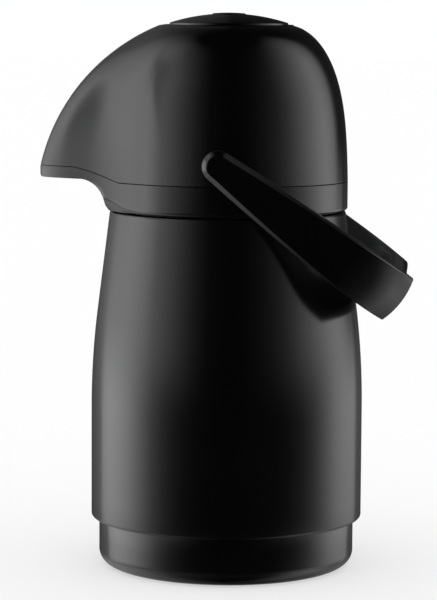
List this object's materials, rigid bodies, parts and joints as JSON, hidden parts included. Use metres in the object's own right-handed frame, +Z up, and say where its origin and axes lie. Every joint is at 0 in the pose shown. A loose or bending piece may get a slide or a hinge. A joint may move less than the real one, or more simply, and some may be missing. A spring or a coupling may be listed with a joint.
{
  "type": "push-button vacuum jug",
  "caption": "Vacuum jug with a glass flask, a pump head worked by a round push button, a beak spout, a lift-off head and a swinging bail handle.",
  "frame": {"origin": "centre of the base, on the face the jug stands on", "axes": "+Z up along the jug, -X along the beak spout, +X towards the hanging grip, +Y across the bail's pivots"},
  "size_m": [0.1974, 0.1448, 0.2943],
  "materials": {
    "shell_black": "moulded black plastic with a soft gloss",
    "base_black": "moulded black plastic with a soft gloss",
    "foot_rubber": "matt dark rubber",
    "seat_rubber": "matt dark rubber",
    "flask_glass": "silvered glass",
    "pad_white": "pressed fibre",
    "seal_silicone": "translucent silicone",
    "head_black": "moulded black plastic with a soft gloss",
    "inner_black": "matt black plastic",
    "button_black": "moulded black plastic with a soft gloss",
    "tube_milky": "milky polypropylene",
    "bellows_rubber": "matt rubber",
    "spring_steel": "drawn steel wire",
    "bail_black": "moulded black plastic with a soft gloss",
    "pin_steel": "turned steel",
    "washer_black": "black acetal",
    "screw_steel": "zinc-plated steel"
  },
  "bodies": {
    "bottle": {"body_shell": "shell_black", "base_cup": "base_black", "foot_ring": "foot_rubber", "flask_seat": "seat_rubber", "centring_ring": "seat_rubber", "flask_outer": "flask_glass", "flask_inner": "flask_glass", "spacer_pad_1": "pad_white", "spacer_pad_2": "pad_white", "spacer_pad_3": "pad_white", "mouth_seal": "seal_silicone"},
    "seal_ring": {"stopper_seal": "seal_silicone"},
    "head": {"head_collar": "head_black", "dome_shell": "head_black", "bayonet_ring": "inner_black", "pump_plate": "inner_black", "stopper": "inner_black", "button_sleeve": "head_black", "suction_tube": "tube_milky", "spout_pipe": "tube_milky", "pivot_pin_left": "pin_steel", "pivot_pin_right": "pin_steel", "pivot_washer_left": "washer_black", "pivot_washer_right": "washer_black", "head_screw_1": "screw_steel", "head_screw_2": "screw_steel", "head_screw_3": "screw_steel"},
    "button": {"push_button": "button_black", "button_pad": "button_black", "valve_stem": "tube_milky", "bellows": "bellows_rubber", "bellows_plate": "inner_black", "return_spring": "spring_steel"},
    "bail": {"bail_handle": "bail_black"}
  },
  "joints": [
    {"name": "head_lift", "type": "slide", "parent": "bottle", "child": "seal_ring", "axis": [0, 0, 1], "range_m": [0, 0.2]},
    {"name": "head_turn", "type": "hinge", "parent": "seal_ring", "child": "head", "pos_m": [0, 0, 0.2022], "axis": [0, 0, 1], "range_deg": [0, 60]},
    {"name": "button_press", "type": "slide", "parent": "head", "child": "button", "axis": [0, 0, -1], "range_m": [0, 0.026], "stiffness_N_per_m": 400, "springref_m": -0.012, "deforming": ["bellows", "return_spring"]},
    {"name": "bail_swing", "type": "hinge", "parent": "head", "child": "bail", "pos_m": [-0.003, 0, 0.217], "axis": [0, -1, 0], "range_deg": [0, 255]}
  ]
}
